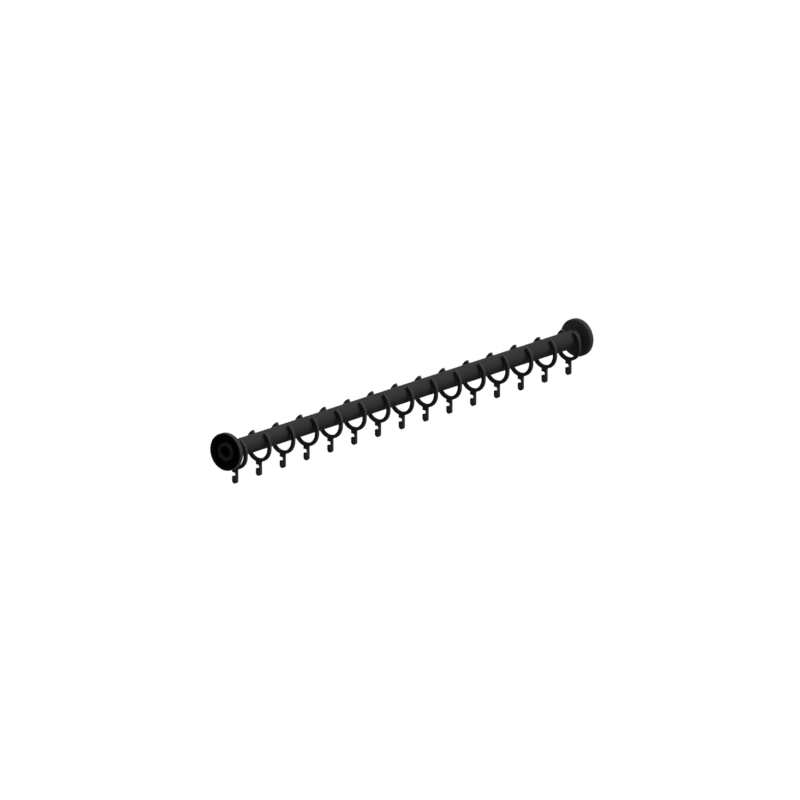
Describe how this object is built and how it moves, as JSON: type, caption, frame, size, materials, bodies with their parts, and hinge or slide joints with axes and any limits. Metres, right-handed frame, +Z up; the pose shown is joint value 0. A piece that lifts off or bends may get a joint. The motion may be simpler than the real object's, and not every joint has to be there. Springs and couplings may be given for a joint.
{
  "type": "shower curtain rod",
  "caption": "Straight round shower curtain rod between two walls, with a hollow cover flange at each end and a row of open clip-on rings, each with a moulded hook.",
  "frame": {"origin": "on the tube's axis in the plane of the left wall, at the mouth of the left socket", "axes": "+X along the tube to the right wall, +Z up, hooks open towards +Y"},
  "size_m": [1, 0.068, 0.097],
  "materials": {
    "rail_coat": "matte powder coat",
    "cover_coat": "matte powder coat",
    "bush_plastic": "moulded",
    "ring_plastic": "satin moulded",
    "screw_steel": "turned, blackened"
  },
  "bodies": {
    "rail": {"rail_tube": "rail_coat", "left_end_bush": "bush_plastic", "right_end_bush": "bush_plastic", "left_grub_screw": "screw_steel", "right_grub_screw": "screw_steel"},
    "left_cover": {"left_cover": "cover_coat"},
    "right_cover": {"right_cover": "cover_coat"},
    "ring_01": {"ring_01": "ring_plastic"},
    "ring_02": {"ring_02": "ring_plastic"},
    "ring_03": {"ring_03": "ring_plastic"},
    "ring_04": {"ring_04": "ring_plastic"},
    "ring_05": {"ring_05": "ring_plastic"},
    "ring_06": {"ring_06": "ring_plastic"},
    "ring_07": {"ring_07": "ring_plastic"},
    "ring_08": {"ring_08": "ring_plastic"},
    "ring_09": {"ring_09": "ring_plastic"},
    "ring_10": {"ring_10": "ring_plastic"},
    "ring_11": {"ring_11": "ring_plastic"},
    "ring_12": {"ring_12": "ring_plastic"},
    "ring_13": {"ring_13": "ring_plastic"},
    "ring_14": {"ring_14": "ring_plastic"},
    "ring_15": {"ring_15": "ring_plastic"}
  },
  "joints": [
    {"name": "left_cover_slide", "type": "slide", "parent": "rail", "child": "left_cover", "axis": [1, 0, 0], "range_m": [0, 0.0133]},
    {"name": "right_cover_slide", "type": "slide", "parent": "rail", "child": "right_cover", "axis": [1, 0, 0], "range_m": [-0.0133, 0]},
    {"name": "ring_01_slide", "type": "slide", "parent": "rail", "child": "ring_01", "axis": [1, 0, 0], "range_m": [-0.0133, 0.06129]},
    {"name": "ring_02_slide", "type": "slide", "parent": "rail", "child": "ring_02", "axis": [1, 0, 0], "range_m": [-0.06129, 0.06129]},
    {"name": "ring_03_slide", "type": "slide", "parent": "rail", "child": "ring_03", "axis": [1, 0, 0], "range_m": [-0.06129, 0.06129]},
    {"name": "ring_04_slide", "type": "slide", "parent": "rail", "child": "ring_04", "axis": [1, 0, 0], "range_m": [-0.06129, 0.06129]},
    {"name": "ring_05_slide", "type": "slide", "parent": "rail", "child": "ring_05", "axis": [1, 0, 0], "range_m": [-0.06129, 0.06129]},
    {"name": "ring_06_slide", "type": "slide", "parent": "rail", "child": "ring_06", "axis": [1, 0, 0], "range_m": [-0.06129, 0.06129]},
    {"name": "ring_07_slide", "type": "slide", "parent": "rail", "child": "ring_07", "axis": [1, 0, 0], "range_m": [-0.06129, 0.06129]},
    {"name": "ring_08_slide", "type": "slide", "parent": "rail", "child": "ring_08", "axis": [1, 0, 0], "range_m": [-0.06129, 0.06129]},
    {"name": "ring_09_slide", "type": "slide", "parent": "rail", "child": "ring_09", "axis": [1, 0, 0], "range_m": [-0.06129, 0.06129]},
    {"name": "ring_10_slide", "type": "slide", "parent": "rail", "child": "ring_10", "axis": [1, 0, 0], "range_m": [-0.06129, 0.06129]},
    {"name": "ring_11_slide", "type": "slide", "parent": "rail", "child": "ring_11", "axis": [1, 0, 0], "range_m": [-0.06129, 0.06129]},
    {"name": "ring_12_slide", "type": "slide", "parent": "rail", "child": "ring_12", "axis": [1, 0, 0], "range_m": [-0.06129, 0.06129]},
    {"name": "ring_13_slide", "type": "slide", "parent": "rail", "child": "ring_13", "axis": [1, 0, 0], "range_m": [-0.06129, 0.06129]},
    {"name": "ring_14_slide", "type": "slide", "parent": "rail", "child": "ring_14", "axis": [1, 0, 0], "range_m": [-0.06129, 0.06129]},
    {"name": "ring_15_slide", "type": "slide", "parent": "rail", "child": "ring_15", "axis": [1, 0, 0], "range_m": [-0.06129, 0.0133]}
  ]
}
